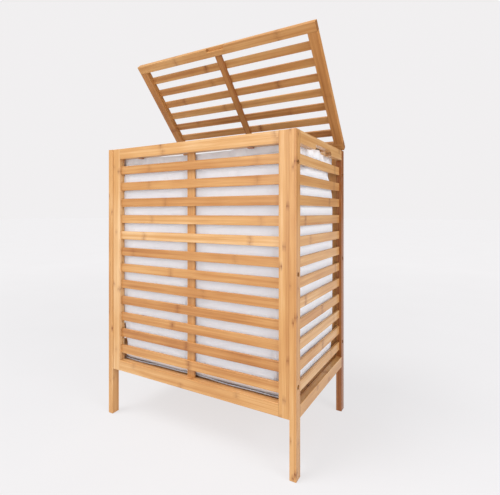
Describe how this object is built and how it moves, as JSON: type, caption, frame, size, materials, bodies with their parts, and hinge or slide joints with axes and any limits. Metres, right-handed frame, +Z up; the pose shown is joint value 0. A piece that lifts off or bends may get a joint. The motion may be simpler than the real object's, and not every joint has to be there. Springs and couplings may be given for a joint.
{
  "type": "laundry hamper with lid",
  "caption": "Rectangular slatted wooden laundry hamper on four legs, with a removable fabric liner, side hand-holds and a rear-hinged slatted lid that stays open.",
  "frame": {"origin": "on the floor, in the middle of the whole outline with the lid standing open", "axes": "+X to the right seen from the front, +Y to the back, towards the hinges, +Z up"},
  "size_m": [0.508, 0.322, 0.9054],
  "materials": {
    "bamboo": "satin, laminated strips along the grain",
    "turned_wood": "plain sanded",
    "bolt_steel": "blackened",
    "insert_brass": "plain",
    "hinge_steel": "satin",
    "liner_fabric": "plain woven"
  },
  "bodies": {
    "hamper": {"front_stile_left": "bamboo", "front_stile_right": "bamboo", "front_top_rail": "bamboo", "front_bottom_rail": "bamboo", "front_centre_stile": "bamboo", "front_slat_01": "bamboo", "front_slat_02": "bamboo", "front_slat_03": "bamboo", "front_slat_04": "bamboo", "front_slat_05": "bamboo", "front_slat_06": "bamboo", "front_slat_07": "bamboo", "front_slat_08": "bamboo", "front_slat_09": "bamboo", "front_slat_10": "bamboo", "front_slat_11": "bamboo", "front_slat_12": "bamboo", "back_stile_left": "bamboo", "back_stile_right": "bamboo", "back_top_rail": "bamboo", "back_bottom_rail": "bamboo", "back_centre_stile": "bamboo", "back_slats": "bamboo", "left_front_leg": "bamboo", "left_rear_leg": "bamboo", "left_top_rail": "bamboo", "left_bottom_rail": "bamboo", "left_slats": "bamboo", "right_front_leg": "bamboo", "right_rear_leg": "bamboo", "right_top_rail": "bamboo", "right_bottom_rail": "bamboo", "right_slats": "bamboo", "base_cleat_front": "bamboo", "base_cleat_back": "bamboo", "base_slats": "bamboo", "frame_dowels": "turned_wood", "liner_pegs": "turned_wood", "corner_bolts": "bolt_steel", "corner_inserts": "insert_brass", "hinge_left_body_leaf": "hinge_steel", "hinge_right_body_leaf": "hinge_steel", "hinge_pins": "hinge_steel", "hinge_body_screws": "hinge_steel", "liner_bag": "liner_fabric"},
    "lid": {"lid_front_rail": "bamboo", "lid_rear_rail": "bamboo", "lid_stile_left": "bamboo", "lid_stile_right": "bamboo", "lid_centre_stile": "bamboo", "lid_slat_1": "bamboo", "lid_slat_2": "bamboo", "lid_slat_3": "bamboo", "lid_slat_4": "bamboo", "lid_slat_5": "bamboo", "lid_slat_6": "bamboo", "lid_slat_7": "bamboo", "hinge_left_lid_leaf": "hinge_steel", "hinge_right_lid_leaf": "hinge_steel", "hinge_lid_screws": "hinge_steel"}
  },
  "joints": [
    {"name": "lid_hinge", "type": "hinge", "parent": "hamper", "child": "lid", "pos_m": [0, 0.15202, 0.6573], "axis": [-1, 0, 0], "range_deg": [-47.7, 57.3]}
  ]
}
